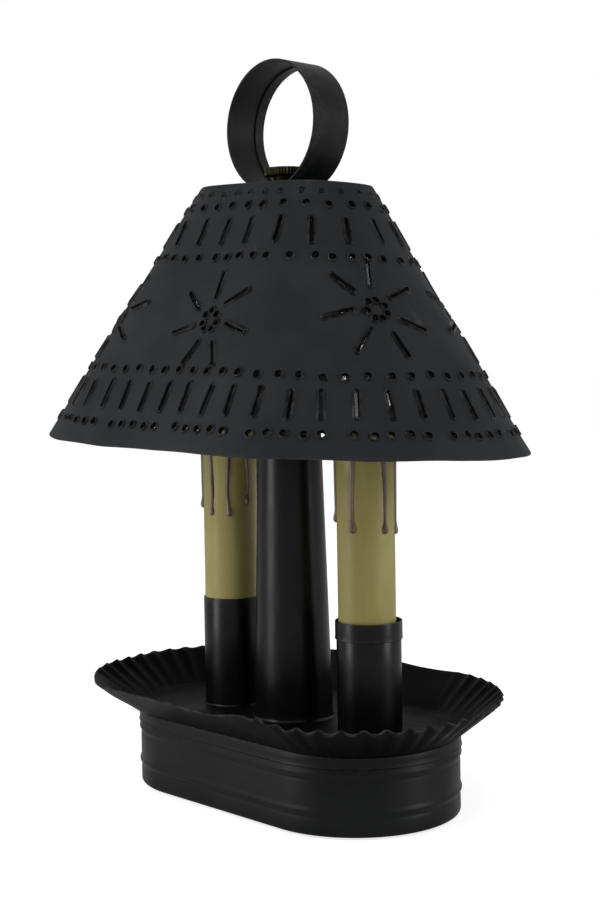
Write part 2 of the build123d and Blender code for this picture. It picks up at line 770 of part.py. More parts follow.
# Lead wires: two from each socket, down through the nipple and across the can to the connectors
for side, candle_x, _, _, _, _ in candles:
    inward = -1 if candle_x > 0 else 1
    with BuildPart() as lead_wires:
        for facing in (1, -1):
            lane = -inward * wire_lane
            start_y = facing * wire_spread
            with BuildLine() as route:
                FilletPolyline(
                    (candle_x, start_y, socket_bottom + socket_floor - slip),
                    (candle_x, start_y, wire_floor_height + wire_drop),
                    (-inward * wire_turn_x, facing * wire_turn_y, wire_floor_height),
                    (lane, facing * (connector_y - wire_run_in), connector_height),
                    (lane, facing * (connector_y + connector_length / 2), connector_height),
                    radius=wire_bends,
                )
            with BuildSketch(Plane(origin=route.wire() @ 0, z_dir=route.wire() % 0)):
                Circle(wire_radius)
            sweep(path=route.wire())
            wire_length = route.wire().length
            print(side, "lead wire", facing, "length", round(wire_length, 2))
    wire_section = pi * wire_radius**2
    print(side, "lead wires volume", round(lead_wires.part.volume, 2), "section", round(wire_section, 4))
    finish(lead_wires, side + "_lead_wires")
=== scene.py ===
from math import atan2, cos, hypot, pi, radians, sin

import bmesh
import bpy
from mathutils import Matrix, Vector


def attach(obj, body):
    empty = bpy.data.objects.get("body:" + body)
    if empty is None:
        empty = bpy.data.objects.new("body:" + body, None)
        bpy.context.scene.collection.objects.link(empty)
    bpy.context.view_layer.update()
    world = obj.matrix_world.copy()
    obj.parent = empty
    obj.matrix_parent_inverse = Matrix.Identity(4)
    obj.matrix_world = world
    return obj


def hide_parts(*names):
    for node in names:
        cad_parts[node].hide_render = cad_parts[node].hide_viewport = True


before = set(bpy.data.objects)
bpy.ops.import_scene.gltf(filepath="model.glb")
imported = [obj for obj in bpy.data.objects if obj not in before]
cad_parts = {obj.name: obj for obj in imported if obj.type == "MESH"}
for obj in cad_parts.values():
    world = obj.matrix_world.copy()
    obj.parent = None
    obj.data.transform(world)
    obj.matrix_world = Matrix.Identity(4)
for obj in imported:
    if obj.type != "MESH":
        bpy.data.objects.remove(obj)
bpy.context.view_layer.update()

# Camera: stands off the lamp's front right corner, a little above the middle of the stem.
# A short telephoto view, with the small tilt of a hand-set camera.
camera_lens = bpy.data.cameras.new("camera")
camera_lens.lens = 64.3515
camera_lens.sensor_width = 36
camera_lens.shift_x = 0.012322
camera_lens.shift_y = -0.06487
camera = bpy.data.objects.new("camera", camera_lens)
camera.location = (0.5001, -0.45974, 0.1885)
camera.rotation_euler = (radians(88.18), radians(0.949), radians(47.377))
bpy.context.scene.collection.objects.link(camera)
bpy.context.scene.camera = camera
bpy.context.scene.view_settings.view_transform = "Standard"

# Table top: a plain white board that the lamp stands on, wide enough to run out of the view.
# It keeps the lamp's soft shadow and glows a little, so that it shows as white as the room.
mm = 0.001


def seen_share(tree, reflected):
    """1 where the camera or glass looks at a surface, a share of that in reflections, else 0."""
    rays = tree.nodes.new("ShaderNodeLightPath")
    reflection = tree.nodes.new("ShaderNodeMath")
    reflection.operation = "MULTIPLY"
    reflection.inputs[1].default_value = reflected
    tree.links.new(rays.outputs["Is Glossy Ray"], reflection.inputs[0])
    seen = reflection.outputs[0]
    for ray in ("Is Camera Ray", "Is Transmission Ray"):
        larger = tree.nodes.new("ShaderNodeMath")
        larger.operation = "MAXIMUM"
        tree.links.new(rays.outputs[ray], larger.inputs[0])
        tree.links.new(seen, larger.inputs[1])
        seen = larger.outputs[0]
    return seen


bpy.ops.object.select_all(action="DESELECT")
bpy.ops.mesh.primitive_plane_add(size=12, location=(0, 0, -0.1 * mm))
floor = bpy.context.object
floor.name = "floor"
floor_white = bpy.data.materials.new("floor_white")
floor_white.use_nodes = True
floor_tree = floor_white.node_tree
floor_paint = floor_tree.nodes["Principled BSDF"]
floor_paint.inputs["Base Color"].default_value = (0.6, 0.6, 0.6, 1)
floor_paint.inputs["Roughness"].default_value = 1.0
floor_paint.inputs["Specular IOR Level"].default_value = 0.0
floor_level = floor_tree.nodes.new("ShaderNodeMath")
floor_level.operation = "MULTIPLY"
floor_level.inputs[1].default_value = 0.75
floor_glow = floor_tree.nodes.new("ShaderNodeEmission")
floor_sum = floor_tree.nodes.new("ShaderNodeAddShader")
for floor_from, floor_to in (
    (seen_share(floor_tree, 0.3), floor_level.inputs[0]),
    (floor_level.outputs[0], floor_glow.inputs["Strength"]),
    (floor_paint.outputs[0], floor_sum.inputs[0]),
    (floor_glow.outputs[0], floor_sum.inputs[1]),
    (floor_sum.outputs[0], floor_tree.nodes["Material Output"].inputs["Surface"]),
):
    floor_tree.links.new(floor_from, floor_to)
floor.data.materials.append(floor_white)

# Room: even white light from all round.
# It is white behind the lamp and through glass, pale in reflections, and lower as a light.
room = bpy.data.worlds.new("room")
bpy.context.scene.world = room
room.use_nodes = True
room_tree = room.node_tree
room_backdrop = room_tree.nodes["Background"]
room_backdrop.inputs["Color"].default_value = (1, 1, 1, 1)
room_level = room_tree.nodes.new("ShaderNodeMapRange")
room_level.inputs["To Min"].default_value = 0.42
room_level.inputs["To Max"].default_value = 1.0
room_tree.links.new(seen_share(room_tree, 0.2), room_level.inputs["Value"])
room_tree.links.new(room_level.outputs[0], room_backdrop.inputs["Strength"])


# Lamps: three soft boxes, a tall narrow one on the left of the view, a larger one on the right
# and one overhead. Places and sizes are in metres, power in watts.
def soft_box(name, place, aim, width, height, power):
    """A soft area lamp that faces a point."""
    lamp = bpy.data.lights.new(name, "AREA")
    lamp.shape = "RECTANGLE"
    lamp.size = width
    lamp.size_y = height
    lamp.energy = power
    holder = bpy.data.objects.new(name, lamp)
    holder.location = place
    holder.rotation_euler = (Vector(aim) - Vector(place)).to_track_quat("-Z", "Y").to_euler()
    bpy.context.scene.collection.objects.link(holder)


soft_box("left_box", (-0.18, -0.42, 0.25), (0, 0, 0.2), 0.16, 0.5, 1.4)
soft_box("right_box", (1.2, 0.5, 0.4), (0, 0, 0.14), 0.35, 1.0, 8.0)
soft_box("top_box", (0.35, -0.4, 1.25), (0, 0, 0.1), 0.6, 0.6, 4.0)


# Base can: the lamp's foot, an oval band of sheet tin painted satin black.
# Two soft beads are rolled round it, and its bottom edge is rounded over and hemmed inwards.
can_half_straight = 36.5
can_radius = 42.0
can_bottom = 0.8
can_top = 27.0
can_hem = 4.0
can_edge = 1.2
bead_heights = (10.4, 24.7)
bead_profile = (
    (-3.6, 0), (-2.9, -0.15), (-2.3, -0.28), (-1.7, -0.18), (-1.1, 0.22),
    (-0.5, 0.52), (0.1, 0.58), (0.7, 0.38), (1.3, 0.1), (1.8, 0),
)
tin = 0.6
inlet_height = 15.9
inlet_hole_radius = 3.9
arc_steps = 96
straight_cuts = 11


def pick(part, wanted):
    """Select the points of a part, in edit mode, whose place passes a test."""
    bpy.ops.mesh.select_mode(type="VERT")
    bpy.ops.mesh.select_all(action="DESELECT")
    points = bmesh.from_edit_mesh(part.data)
    for point in points.verts:
        if wanted(point.co):
            point.select = True
    points.select_flush_mode()
    bmesh.update_edit_mesh(part.data)


def picked(part):
    """Numbers of the points that are selected."""
    points = bmesh.from_edit_mesh(part.data)
    points.verts.index_update()
    return [point.index for point in points.verts if point.select]


def pick_again(part, numbers):
    """Select points by their numbers."""
    bpy.ops.mesh.select_all(action="DESELECT")
    points = bmesh.from_edit_mesh(part.data)
    points.verts.ensure_lookup_table()
    for number in numbers:
        points.verts[number].select = True
    points.select_flush_mode()
    bmesh.update_edit_mesh(part.data)


def place_of(part, number):
    """Place of a point in edit mode."""
    points = bmesh.from_edit_mesh(part.data)
    points.verts.ensure_lookup_table()
    return points.verts[number].co


def oval_line(name, half_straight, radius, height, steps, cuts):
    """Oval of edges with straight sides along X, left in edit mode and selected. Millimetres."""
    bpy.ops.object.select_all(action="DESELECT")
    bpy.ops.mesh.primitive_circle_add(
        vertices=steps, radius=radius * mm, location=(0, 0, height * mm), rotation=(0, 0, pi / steps)
    )
    part = bpy.context.object
    part.name = name
    bpy.ops.object.transform_apply(location=True, rotation=True, scale=True)
    bpy.ops.object.mode_set(mode="EDIT")
    for side in (1, -1):
        pick(part, lambda place: place.x * side > 0)
        bpy.ops.transform.translate(value=(side * half_straight * mm, 0, 0))
    straight_end = (half_straight + 0.1 * radius) * mm
    side_line = 0.9 * radius * mm
    for side in (1, -1):
        pick(part, lambda place: abs(place.x) < straight_end and place.y * side > side_line)
        inner = sorted(picked(part), key=lambda number: abs(place_of(part, number).x))[:2]
        pick_again(part, inner)
        bpy.ops.mesh.subdivide(number_cuts=cuts)
    bpy.ops.mesh.select_all(action="SELECT")
    return part


def next_oval(part, old, new):
    """Extrude the selected oval to a new half straight, radius and height."""
    bpy.ops.mesh.extrude_region_move(TRANSFORM_OT_translate={"value": (0, 0, (new[2] - old[2]) * mm)})
    ring = picked(part)
    growth = new[1] / old[1]
    bpy.ops.transform.resize(value=(1, growth, 1), center_override=(0, 0, new[2] * mm))
    edge = old[0] * mm
    places = {number: place_of(part, number).x for number in ring}
    straight = [number for number in ring if abs(places[number]) <= edge]
    for side in (1, -1):
        pick_again(part, [number for number in ring if places[number] * side > edge])
        bpy.ops.transform.resize(value=(growth, 1, 1), center_override=(side * edge, 0, new[2] * mm))
        if new[0] != old[0]:
            bpy.ops.transform.translate(value=(side * (new[0] - old[0]) * mm, 0, 0))
    if new[0] != old[0]:
        pick_again(part, straight)
        bpy.ops.transform.resize(value=(new[0] / old[0], 1, 1), center_override=(0, 0, new[2] * mm))
    pick_again(part, ring)


def face_outwards():
    """Turn all faces of the part outwards and leave edit mode."""
    bpy.ops.mesh.select_all(action="SELECT")
    bpy.ops.mesh.normals_make_consistent(inside=False)
    bpy.ops.object.mode_set(mode="OBJECT")


def close_shell():
    """Merge the last ring with the first, turn all faces outwards and leave edit mode."""
    bpy.ops.mesh.select_all(action="SELECT")
    bpy.ops.mesh.remove_doubles(threshold=0.005 * mm)
    face_outwards()


def oval_shell(name, rings, steps, cuts):
    """Closed oval shell through rings of half straight, radius and height, back to the first."""
    part = oval_line(name, *rings[0], steps, cuts)
    for old, new in zip(rings, rings[1:] + rings[:1]):
        next_oval(part, old, new)
    close_shell()
    return part


def take(part):
    """Select a part alone and make it the one that tools work on."""
    bpy.ops.object.select_all(action="DESELECT")
    part.select_set(True)
    bpy.context.view_layer.objects.active = part


def smooth(part, angle):
    """Smooth shading, with edges sharper than an angle in degrees kept."""
    take(part)
    bpy.ops.object.shade_smooth_by_angle(angle=radians(angle))


def apply_all(part):
    """Apply the modifiers of a part in their order."""
    take(part)
    for modifier in list(part.modifiers):
        bpy.ops.object.modifier_apply(modifier=modifier.name)


def cut_with(part, cutter, solver="EXACT"):
    """Cut a closed shape out of a part and drop the cutter."""
    cut = part.modifiers.new("cut", "BOOLEAN")
    cut.operation = "DIFFERENCE"
    cut.solver = solver
    cut.object = cutter
    apply_all(part)
    bpy.data.objects.remove(cutter)


def drill(part, radius, depth, place, turn=0.0):
    """Bore a round hole about a place, upright or turned about X. Millimetres."""
    bpy.ops.object.select_all(action="DESELECT")
    bpy.ops.mesh.primitive_cylinder_add(
        vertices=32, radius=radius * mm, depth=depth * mm,
        location=[step * mm for step in place], rotation=(turn, 0, 0),
    )
    cut_with(part, bpy.context.object)


def hang(part, body, slot, finish, *nodes):
    """Give a part its finish and let it stand for its CAD nodes on their body."""
    part.data.materials.clear()
    part.data.materials.append(finish)
    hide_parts(*nodes)
    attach(part, body)


def new_finish(name, colour, roughness, metal=0.0, gloss=0.5):
    """A finish with its even values on the shader itself."""
    finish = bpy.data.materials.new(name)
    finish.use_nodes = True
    shader = finish.node_tree.nodes["Principled BSDF"]
    shader.inputs["Base Color"].default_value = (*colour, 1)
    shader.inputs["Roughness"].default_value = roughness
    shader.inputs["Metallic"].default_value = metal
    shader.inputs["Specular IOR Level"].default_value = gloss
    return finish


def grain(finish, scale, detail=3.0, stretch=(1, 1, 1), warp=0.0):
    """Cloudy pattern fixed to the piece, from 0 to 1."""
    nodes = finish.node_tree.nodes
    links = finish.node_tree.links
    where = nodes.new("ShaderNodeTexCoord")
    aim = nodes.new("ShaderNodeMapping")
    aim.inputs["Scale"].default_value = stretch
    cloud = nodes.new("ShaderNodeTexNoise")
    cloud.inputs["Scale"].default_value = scale
    cloud.inputs["Detail"].default_value = detail
    cloud.inputs["Distortion"].default_value = warp
    links.new(where.outputs["Object"], aim.inputs["Vector"])
    links.new(aim.outputs["Vector"], cloud.inputs["Vector"])
    return cloud.outputs[0]


def ramp(finish, source, low, high, start=0.35, end=0.65):
    """A pattern turned into a run from one number to another."""
    node = finish.node_tree.nodes.new("ShaderNodeMapRange")
    node.inputs["From Min"].default_value = start
    node.inputs["From Max"].default_value = end
    node.inputs["To Min"].default_value = low
    node.inputs["To Max"].default_value = high
    finish.node_tree.links.new(source, node.inputs["Value"])
    return node.outputs[0]


def tint(finish, source, first, second):
    """Colour that runs from the first to the second with a pattern."""
    node = finish.node_tree.nodes.new("ShaderNodeMix")
    node.data_type = "RGBA"
    links = finish.node_tree.links
    links.new(source, node.inputs[0])
    for socket, colour in ((node.inputs[6], first), (node.inputs[7], second)):
        if isinstance(colour, tuple):
            socket.default_value = (*colour, 1)
        else:
            links.new(colour, socket)
    return node.outputs[2]


def times(finish, first, second):
    """Product of two patterns."""
    node = finish.node_tree.nodes.new("ShaderNodeMath")
    node.operation = "MULTIPLY"
    finish.node_tree.links.new(first, node.inputs[0])
    finish.node_tree.links.new(second, node.inputs[1])
    return node.outputs[0]


def feed(finish, source, socket):
    """Join a pattern to an input of the finish's shader."""
    finish.node_tree.links.new(source, finish.node_tree.nodes["Principled BSDF"].inputs[socket])


def relief(finish, *layers):
    """Small bumps from patterns, each with its depth in millimetres."""
    last = None
    for source, depth in layers:
        node = finish.node_tree.nodes.new("ShaderNodeBump")
        node.inputs["Strength"].default_value = 1.0
        node.inputs["Distance"].default_value = depth * mm
        finish.node_tree.links.new(source, node.inputs["Height"])
        if last is not None:
            finish.node_tree.links.new(last, node.inputs["Normal"])
        last = node.outputs[0]
    feed(finish, last, "Normal")


def edges_worn_and_highlit(finish, start=0.53, end=0.6):
    """Mask of a piece's edges, where paint and brass are lightened for wear and as painted highlight, broken up
    by a fine pattern.
    """
    shape = finish.node_tree.nodes.new("ShaderNodeNewGeometry")
    edge = ramp(finish, shape.outputs["Pointiness"], 0.0, 1.0, start, end)
    return times(finish, edge, ramp(finish, grain(finish, 350, 4), 0.2, 1.0, 0.42, 0.6))


def uneven(finish, scale, smoothest, roughest, detail=4):
    """Roughness that wanders between two levels."""
    feed(finish, ramp(finish, grain(finish, scale, detail), smoothest, roughest), "Roughness")


def black_paint(name, dark, light, smoothest, roughest, gloss):
    """Sprayed black paint: cloudy tone, a little dust, edges lightened for wear and as painted highlight, and
    fine orange peel.
    """
    dust_grey = (0.03, 0.03, 0.03)
    # The grey on the edges is partly worn paint and partly a painted highlight along them.
    worn_and_highlight_grey = (0.035, 0.035, 0.034)
    paint = new_finish(name, dark, smoothest, gloss=gloss)
    tone = tint(paint, ramp(paint, grain(paint, 38, 4), 0.0, 1.0), dark, light)
    specks = ramp(paint, grain(paint, 900, 2), 0.0, 1.0, 0.62, 0.72)
    dust = times(paint, specks, ramp(paint, grain(paint, 22, 2), 0.0, 0.2))
    dusty = tint(paint, dust, tone, dust_grey)
    feed(paint, tint(paint, edges_worn_and_highlit(paint), dusty, worn_and_highlight_grey), "Base Color")
    uneven(paint, 60, smoothest, roughest, detail=5)
    relief(paint, (grain(paint, 140, 3), 0.04), (grain(paint, 1400, 2), 0.003))
    return paint


satin_black = black_paint(
    "satin_black_paint", (0.004, 0.0043, 0.0047), (0.007, 0.0075, 0.008), 0.36, 0.48, 0.13
)


def can_rings(*spots):
    """Rings of the can's own oval, from pairs of radius and height."""
    return [(can_half_straight, radius, height) for radius, height in spots]


def can_bead(height, inset):
    """Rings of a bead rolled round the can at a height, with a shallow groove under it."""
    return can_rings(*((can_radius - inset + proud, height + level) for level, proud in bead_profile))


can_outside = can_rings((can_radius - can_hem, can_bottom))
for turn in (0, 22.5, 45, 67.5, 90):
    can_outside += can_rings((
        can_radius - can_edge + can_edge * sin(radians(turn)),
        can_bottom + can_edge - can_edge * cos(radians(turn)),
    ))
can_wall_inside = []
for bead_height in bead_heights:
    can_outside += can_bead(bead_height, 0)
    can_wall_inside += can_bead(bead_height, tin)
can_outside += can_rings((can_radius - 0.05, can_top - 0.15), (can_radius - 0.2, can_top))
can_inside = can_rings((can_radius - tin, can_top)) + can_wall_inside[::-1]
can_inside += can_rings((can_radius - tin, can_bottom + tin), (can_radius - can_hem, can_bottom + tin))
base_can = oval_shell("base_can_shell", can_outside + can_inside, arc_steps, straight_cuts)
drill(base_can, radius=inlet_hole_radius, depth=6, place=(0, can_radius, inlet_height), turn=pi / 2)
smooth(base_can, 40)
hang(base_can, "stand", "black_tin", satin_black, "base_can")


# Bottom cover: a plain plate of sheet tin that closes the can from below.
# It lies on the can's hem and is painted like the rest.
def dress(finish, *nodes):
    """Give a finish to CAD pieces that keep their own shape."""
    for node in nodes:
        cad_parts[node].data.materials.clear()
        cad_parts[node].data.materials.append(finish)


dress(satin_black, "base_cover")

# Felt foot: a die-cut pad of black wool felt glued under the bottom cover.
# Its cut edge is soft and it stands just proud of the can.
felt_rings = can_rings((36.9, 0.0), (37.6, 0.15), (37.7, 0.7), (37.6, 1.4))
felt = oval_line("felt_foot_pad", *felt_rings[0], arc_steps, straight_cuts)
bpy.ops.mesh.edge_face_add()
bpy.ops.mesh.select_all(action="SELECT")
for felt_old, felt_new in zip(felt_rings, felt_rings[1:]):
    next_oval(felt, felt_old, felt_new)
face_outwards()
smooth(felt, 40)


def mottle(finish, scale, detail, dark, light, warp=0.0):
    """Base colour that clouds from a dark tone to a light one."""
    clouds = ramp(finish, grain(finish, scale, detail, warp=warp), 0.0, 1.0)
    feed(finish, tint(finish, clouds, dark, light), "Base Color")


black_felt = new_finish("black_wool_felt", (0.012, 0.012, 0.012), 0.95, gloss=0.2)
mottle(black_felt, 700, 5, (0.006, 0.006, 0.006), (0.03, 0.03, 0.029), warp=1.5)
relief(black_felt, (grain(black_felt, 900, 6, warp=2.0), 0.25))
hang(felt, "stand", "felt", black_felt, "felt_pad")

# Cord bushing: a snap-in ring of moulded black plastic in the back of the can.
# Its flange is rounded and its barrel has a lip that locks behind the tin.
bushing_rings = [
    (2.8, -3.0), (3.9, -3.1), (4.4, -2.7), (4.4, -0.7), (3.8, -0.6), (3.8, 0.0), (4.6, 0.0),
    (4.7, 0.3), (4.55, 0.9), (4.1, 1.35), (3.6, 1.5), (3.1, 1.35), (2.85, 1.0), (2.8, 0.6),
]


def round_line(name, x, radius, height, steps):
    """Circle of edges about an upright line at x, left in edit mode and selected. Millimetres."""
    bpy.ops.object.select_all(action="DESELECT")
    bpy.ops.mesh.primitive_circle_add(vertices=steps, radius=radius * mm, location=(x * mm, 0, height * mm))
    part = bpy.context.object
    part.name = name
    bpy.ops.object.transform_apply(location=True, rotation=True, scale=True)
    bpy.ops.object.mode_set(mode="EDIT")
    bpy.ops.mesh.select_all(action="SELECT")
    return part


def next_round(x, old, new):
    """Extrude the selected circle to a new radius and height."""
    bpy.ops.mesh.extrude_region_move(TRANSFORM_OT_translate={"value": (0, 0, (new[1] - old[1]) * mm)})
    growth = new[0] / old[0]
    bpy.ops.transform.resize(value=(growth, growth, 1), center_override=(x * mm, 0, new[1] * mm))


def round_shell(name, x, rings, steps):
    """Closed turned shell through rings of radius and height, back to the first."""
    part = round_line(name, x, *rings[0], steps)
    for old, new in zip(rings, rings[1:] + rings[:1]):
        next_round(x, old, new)
    close_shell()
    return part


bushing = round_shell("bushing_ring", 0, bushing_rings, 48)
take(bushing)
bushing.rotation_euler = (-pi / 2, 0, 0)
bushing.location = (0, can_radius * mm, inlet_height * mm)
bpy.ops.object.transform_apply(location=True, rotation=True, scale=True)
smooth(bushing, 40)
black_plastic = new_finish("black_nylon", (0.012, 0.012, 0.013), 0.38)
uneven(black_plastic, 300, 0.3, 0.5)
plastic_tone = tint(black_plastic, grain(black_plastic, 150, 3), (0.009, 0.009, 0.01), (0.02, 0.02, 0.021))
feed(black_plastic, plastic_tone, "Base Color")
relief(black_plastic, (grain(black_plastic, 1500, 2), 0.01))
hang(bushing, "stand", "bushing", black_plastic, "cord_bushing")

# Neck band: the plain oval collar of tin soldered under the pan that plugs into the can.
# Only a narrow band of it, stepped out a little, shows above the can's top edge.
neck_radius = 41.3
neck_shoulder = 42.5
neck_bottom = 21.0
neck_top = 32.4
neck_rings = can_rings((neck_radius, neck_bottom), (neck_radius, 27.05))
neck_rings += can_rings((neck_shoulder, 27.15), (neck_shoulder + 0.3, 27.5))
neck_rings += can_rings(*((neck_shoulder, height) for height in (28.2, 29.5, 31.0)))
neck_rings += can_rings((neck_radius + tin, neck_top), (neck_radius - tin, neck_top))
neck_rings += can_rings((neck_radius - tin, neck_bottom))
neck = oval_shell("neck_collar", neck_rings, arc_steps, straight_cuts)
smooth(neck, 40)
hang(neck, "stand", "black_tin", satin_black, "neck_band")

# Crimped pan: a tray of sheet tin with a flat floor and a flared wall.
# Both round ends are crimped into flutes, so the wall stands in pointed folds and the rim is
# scalloped, and handling has bent the rim a little.
pan_floor = 33.0
pan_rim = 46.5
pan_rim_half_straight = 33.0
pan_rim_radius = 62.0
pan_middle = 5.5
pan_wall_steps = 12
flutes = 23
flute_depth = 2.0
steps_per_flute = 8
pan_straight_cuts = 24
rod_hole = 3.3
nipple_hole = 5.0
right_candle_x = 44.9
left_candle_x = -38.8
# Each bend: the place on the rim, how far it reaches and how far it shifts the tin.
rim_bends = (
    (40.0, -61.6, 15.0, (0, 0, 1.7)),
    (8.0, -pan_rim_radius, 18.0, (0, 0, -0.7)),
    (-95.0, 0, 45.0, (-0.8, 0, 0.4)),
    (95.0, 0, 45.0, (0, 0, -1.1)),
    (-70.0, -49.0, 38.0, (-1.3, -1.35, -0.3)),
    (-85.0, -35.0, 20.0, (-0.6, -0.6, 0.7)),
    (-60.0, -56.0, 14.0, (0, 0, -1.0)),
    (79.0, -41.0, 45.0, (-0.4, -0.4, -1.2)),
    (20.0, pan_rim_radius, 22.0, (0, 0, -0.8)),
)


def wall_share(height):
    """Share of the pan's flared wall below a height, from 0 at its floor to 1 at its rim."""
    return (height - neck_top) / (pan_rim - neck_top)


def pan_ring(height):
    """Half straight, radius and height of the flared wall before it is fluted."""
    share = wall_share(height)
    half_straight = can_half_straight + share * (pan_rim_half_straight - can_half_straight)
    return half_straight, neck_shoulder + share * (pan_rim_radius - neck_shoulder), height


pan_rings = can_rings((pan_middle, neck_top), (25.0, neck_top), (neck_radius - 1.0, neck_top))
for pan_step in range(pan_wall_steps + 1):
    pan_rings.append(pan_ring(neck_top + (pan_rim - neck_top) * pan_step / pan_wall_steps))
pan = oval_line("pan_tray", *pan_rings[0], 2 * flutes * steps_per_flute, pan_straight_cuts)
for pan_old, pan_new in zip(pan_rings, pan_rings[1:]):
    next_oval(pan, pan_old, pan_new)
pick(pan, lambda place: abs(place.y) < (pan_middle + 0.1) * mm)
bpy.ops.mesh.edge_face_add()
face_outwards()
if min(pan.data.polygons, key=lambda face: abs(face.center.z - neck_top * mm)).normal.z > 0:
    pan.data.flip_normals()


def fold_of(place):
    """How far a point of the pan's wall is folded, from -1 in a valley to 1 on a crest."""
    share = wall_share(place.z / mm)
    half_straight = pan_ring(place.z / mm)[0] * mm
    if share <= 0 or abs(place.x) < half_straight:
        return 0.0
    angle = atan2(place.y, abs(place.x) - half_straight)
    turn = flutes * (angle + pi / 2) / pi - 0.5
    # The folds run out towards the straight sides, sooner at the left front, and are lower behind.
    fade = min(1.0, 3.0 * (pi / 2 - abs(angle)))
    if place.x < 0:
        fade *= min(1.0, max(0.0, 2.8 * (angle + 0.95)))
    if angle > 0:
        fade *= 0.7
    return fade * share ** 1.15 * (1 - 2 * abs(sin(pi * turn)))


for group_name, way in (("crests", 1), ("valleys", -1)):
    folded = pan.vertex_groups.new(name=group_name)
    for point in pan.data.vertices:
        folded.add([point.index], max(0.0, way * fold_of(point.co)), "REPLACE")
    crimp = pan.modifiers.new("crimp", "DISPLACE")
    crimp.vertex_group = group_name
    crimp.mid_level = 0.0
    crimp.strength = -way * flute_depth / 2 * mm
apply_all(pan)
bpy.ops.object.mode_set(mode="EDIT")
for bend_x, bend_y, reach, shift in rim_bends:
    pick(pan, lambda place: hypot(place.x - bend_x * mm, place.y - bend_y * mm) < 4 * mm and place.z > 40 * mm)
    bpy.ops.transform.translate(
        value=[step * mm for step in shift], use_proportional_edit=True,
        proportional_edit_falloff="SMOOTH", proportional_size=reach * mm,
    )
bpy.ops.object.mode_set(mode="OBJECT")
sheet = pan.modifiers.new("sheet", "SOLIDIFY")
sheet.thickness = tin * mm
sheet.offset = -1
apply_all(pan)
for hole_x, hole_radius in ((0, rod_hole), (right_candle_x, nipple_hole), (left_candle_x, nipple_hole)):
    drill(pan, radius=hole_radius, depth=4, place=(hole_x, 0, pan_floor))
smooth(pan, 50)
# The tray gets a darker, duller copy of the can's black paint: painted shade, as it lies under the lampshade.
tray_shaded_black = black_paint("tray_paint_painted_shade", (0.0012, 0.0013, 0.0013), (0.003, 0.0031, 0.003), 0.42, 0.56, 0.06)
hang(pan, "stand", "black_tin", tray_shaded_black, "crimped_pan")

# Stem: a tapered tube of rolled tin with a lap seam at the back, soldered to the pan's floor.
# It is painted a glossier black than the tray, and a turned cap closes its top.
stem_foot = 16.5
stem_top = 10.6
stem_top_height = 249.0
stem_solder = ((0.8, 0.02), (0.5, 0.2), (0.2, 0.6), (0.05, 1.2))
stem_levels = (36.5, 45, 60, 80, 100, 120, 140, 160, 180, 200, 220, 240, 248.7)
seam_heading = radians(131.25)
seam_half_width = radians(2)
seam_rise = 0.28


def stem_radius(height):
    """Radius of the stem's outside at a height."""
    return stem_foot + (stem_top - stem_foot) * (height - pan_floor) / (stem_top_height - pan_floor)


stem_rings = [(stem_foot - tin, pan_floor)]
stem_rings += [(stem_foot + out, pan_floor + up) for out, up in stem_solder]
stem_rings += [(stem_radius(height), height) for height in stem_levels]
stem_rings += [(stem_top - 0.2, stem_top_height), (stem_top - tin, stem_top_height)]
stem = round_shell("stem_tube_rolled", 0, stem_rings, 96)


def on_seam(place):
    """Whether a point of the stem lies on the outside, at the lap seam."""
    outside = hypot(place.x, place.y) > (stem_radius(place.z / mm) - tin / 2) * mm
    return outside and abs(atan2(place.y, place.x) - seam_heading) < seam_half_width


bpy.ops.object.mode_set(mode="EDIT")
pick(stem, on_seam)
bpy.ops.transform.translate(value=(seam_rise * mm * cos(seam_heading), seam_rise * mm * sin(seam_heading), 0))
bpy.ops.object.mode_set(mode="OBJECT")
smooth(stem, 40)
gloss_black = black_paint("gloss_black_paint", (0.0008, 0.0008, 0.001), (0.0018, 0.0018, 0.002), 0.28, 0.38, 0.22)
hang(stem, "stand", "black_tin_gloss", gloss_black, "stem_tube")
dress(gloss_black, "stem_cap")

# Candle cups: round tin cups with a turned bottom, soldered to the pan's floor.
# The right cup wears a loose collar round its rim, the left one is plain.
# For each candle: its place along X, the cup's top and inside radius, and the sleeve's shift.
candles = (("right", right_candle_x, 76.4, 12.5, -0.8), ("left", left_candle_x, 79.5, 11.75, 0.0))
cup_wall = 0.5
cup_nipple_hole = 5.0
cup_solder = ((0.3, 0.02), (0.2, 0.15), (0.05, 0.4), (0.0, 0.8))
for side, candle_x, cup_top, cup_inner, sleeve_shift in candles:
    cup_radius = cup_inner + cup_wall
    cup_rings = [(cup_nipple_hole, pan_floor)]
    cup_rings += [(cup_radius + out, pan_floor + up) for out, up in cup_solder]
    cup_rings += [(cup_radius, height) for height in (45.0, 60.0, cup_top - 0.2)]
    cup_rings += [(cup_radius - 0.1, cup_top - 0.03), (cup_inner + 0.1, cup_top), (cup_inner, cup_top - 0.2)]
    cup_rings += [(cup_inner, 60.0), (cup_inner, pan_floor + tin), (cup_nipple_hole, pan_floor + tin)]
    cup = round_shell(side + "_cup_shell", candle_x, cup_rings, 72)
    smooth(cup, 40)
    hang(cup, "stand", "black_tin_gloss", gloss_black, side + "_candle_cup")
collar_rings = [
    (13.05, 70.9), (13.4, 70.8), (13.6, 71.0), (13.5, 72.5),
    (13.5, 77.7), (13.45, 78.05), (13.2, 78.15), (13.05, 77.9),
]
collar = round_shell("cup_rim_collar", right_candle_x, collar_rings, 72)
smooth(collar, 40)
hang(collar, "stand", "black_tin_gloss", gloss_black, "right_cup_collar")

# Candle sleeves: tubes of waxed olive-tan card that hide the sockets, open at both ends.
# Brown wax drips run down them from under the shade and end in drops.
sleeve_radius = 11.6
sleeve_inner = 10.6
sleeve_bottom = 33.6
sleeve_top = 152.0
sleeve_levels = (60.0, 75.0, 90.0, 105.0, 120.0, 135.0)
drip_length = 36.0
drip_start = 0.8
drop_height = 2.5
drip_sways = ((6, 0.25), (11, 0.5), (17, 0.2), (23, -0.35))
